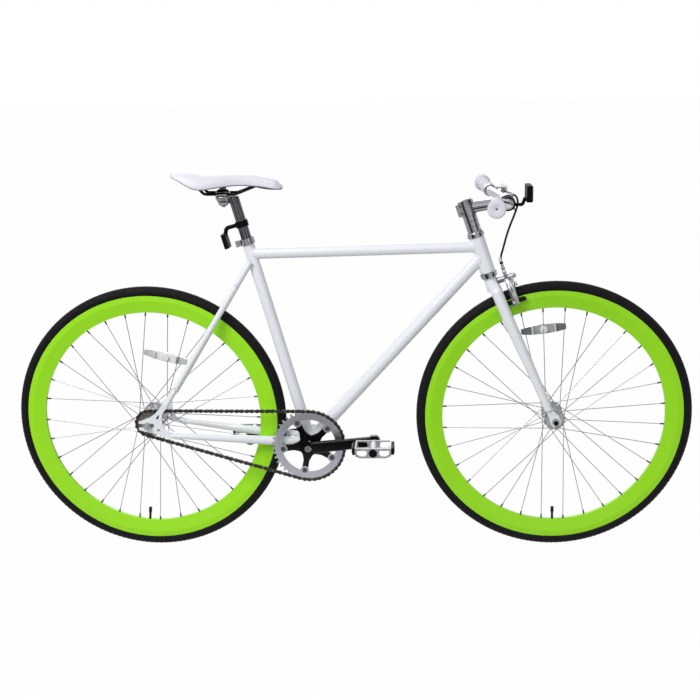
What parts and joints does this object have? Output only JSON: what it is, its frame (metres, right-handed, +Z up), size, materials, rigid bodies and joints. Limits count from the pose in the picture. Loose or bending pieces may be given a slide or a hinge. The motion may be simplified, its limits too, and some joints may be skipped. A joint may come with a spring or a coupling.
{
  "type": "fixed gear bike",
  "caption": "Fixed gear bicycle with a white steel frame, deep green rims, a single-speed chain drive, flat bar and a hand lever working the front caliper brake.",
  "frame": {"origin": "on the ground midway between the two axles", "axes": "+X is forward, +Y is the rider's left, +Z is up; the chain is on the -Y side"},
  "size_m": [1.682, 0.5532, 0.9638],
  "materials": {
    "frame_paint": "white gloss enamel",
    "rim_paint": "bright green gloss paint",
    "tyre_rubber": "black rubber",
    "tube_rubber": "black butyl rubber",
    "pad_rubber": "black moulded rubber",
    "grip_rubber": "white rubber",
    "saddle_skin": "white synthetic leather over foam",
    "spoke_steel": "bright drawn steel",
    "hub_alloy": "polished alloy",
    "plated_steel": "nickel plated steel",
    "chain_steel": "dark oiled steel",
    "crank_black": "black gloss paint",
    "black_steel": "black paint",
    "black_plastic": "black moulded plastic",
    "clear_plastic": "clear reflector plastic"
  },
  "bodies": {
    "frame": {"head_tube": "frame_paint", "top_tube": "frame_paint", "down_tube": "frame_paint", "seat_tube": "frame_paint", "bottom_bracket_shell": "frame_paint", "chainstays": "frame_paint", "seatstays": "frame_paint", "rear_dropouts": "frame_paint", "seat_clamp": "hub_alloy", "headset_cups": "plated_steel", "bottom_bracket_cartridge": "plated_steel", "rear_axle": "plated_steel", "chain_inner_links": "chain_steel", "chain_outer_links": "chain_steel"},
    "steering": {"fork_crown": "frame_paint", "fork_blades": "frame_paint", "headset_spacers": "hub_alloy", "stem": "hub_alloy", "stem_bolts": "plated_steel", "handlebar": "hub_alloy", "grips": "grip_rubber", "brake_lever_bracket": "hub_alloy", "brake_cable": "black_plastic", "caliper_bolt": "plated_steel", "front_axle": "plated_steel", "front_reflector": "black_plastic"},
    "brake_lever": {"brake_lever_blade": "hub_alloy"},
    "right_arm": {"right_brake_arm": "hub_alloy", "right_brake_pad": "pad_rubber"},
    "left_arm": {"left_brake_arm": "hub_alloy", "left_brake_pad": "pad_rubber"},
    "front_wheel": {"front_tyre": "tyre_rubber", "front_inner_tube": "tube_rubber", "front_rim": "rim_paint", "front_spokes": "spoke_steel", "front_hub": "hub_alloy", "front_spoke_reflector": "clear_plastic"},
    "rear_wheel": {"rear_tyre": "tyre_rubber", "rear_inner_tube": "tube_rubber", "rear_rim": "rim_paint", "rear_spokes": "spoke_steel", "rear_hub": "hub_alloy", "rear_cog": "plated_steel", "rear_spoke_reflector": "clear_plastic"},
    "crank": {"crank_spindle": "plated_steel", "right_crank": "crank_black", "left_crank": "crank_black", "chainring": "hub_alloy", "chainring_bolts": "plated_steel", "pedal_axles": "plated_steel"},
    "right_pedal": {"right_pedal": "hub_alloy", "right_pedal_fittings": "black_plastic"},
    "left_pedal": {"left_pedal": "hub_alloy", "left_pedal_fittings": "black_plastic"},
    "seatpost": {"seatpost": "hub_alloy", "saddle_clamp": "black_steel", "saddle_rails": "black_steel", "saddle_base": "black_plastic", "saddle_cover": "saddle_skin", "rear_reflector": "black_plastic"}
  },
  "joints": [
    {"name": "steering_turn", "type": "hinge", "parent": "frame", "child": "steering", "pos_m": [0.46148, 0, 0.32584], "axis": [-0.309, 0, 0.9511], "range_deg": [-70, 70]},
    {"name": "front_wheel_spin", "type": "hinge", "parent": "steering", "child": "front_wheel", "pos_m": [0.502, 0, 0.339], "axis": [0, 1, 0], "continuous": true},
    {"name": "rear_wheel_spin", "type": "hinge", "parent": "frame", "child": "rear_wheel", "pos_m": [-0.502, 0, 0.339], "axis": [0, 1, 0], "continuous": true, "deforming": ["chain_inner_links", "chain_outer_links"]},
    {"name": "crank_spin", "type": "hinge", "parent": "frame", "child": "crank", "pos_m": [-0.10424, 0, 0.278], "axis": [0, 1, 0], "continuous": true},
    {"name": "right_pedal_spin", "type": "hinge", "parent": "crank", "child": "right_pedal", "pos_m": [0.05953, 0, 0.29811], "axis": [0, 1, 0], "continuous": true},
    {"name": "left_pedal_spin", "type": "hinge", "parent": "crank", "child": "left_pedal", "pos_m": [-0.26801, 0, 0.25789], "axis": [0, 1, 0], "continuous": true},
    {"name": "brake_lever_pull", "type": "hinge", "parent": "steering", "child": "brake_lever", "pos_m": [0.38499, 0.136, 0.8837], "axis": [0, 0, 1], "range_deg": [0, 12], "stiffness_Nm_per_rad": 1.5, "springref_deg": -11.46},
    {"name": "right_arm_pivot", "type": "hinge", "parent": "steering", "child": "right_arm", "pos_m": [0.34777, 0, 0.67582], "axis": [0.9511, 0, 0.309], "range_deg": [0, 1.7]},
    {"name": "left_arm_pivot", "type": "hinge", "parent": "steering", "child": "left_arm", "pos_m": [0.34777, 0, 0.67582], "axis": [0.9511, 0, 0.309], "range_deg": [-1.7, 0]},
    {"name": "seatpost_slide", "type": "slide", "parent": "frame", "child": "seatpost", "axis": [-0.2605, 0, 0.9655], "range_m": [-0.01, 0.05]}
  ],
  "couplings": [
    {"joint": "crank_spin", "follows": "rear_wheel_spin", "ratio": 0.36364},
    {"joint": "right_arm_pivot", "follows": "brake_lever_pull", "ratio": 0.14166},
    {"joint": "left_arm_pivot", "follows": "brake_lever_pull", "ratio": -0.14166}
  ]
}
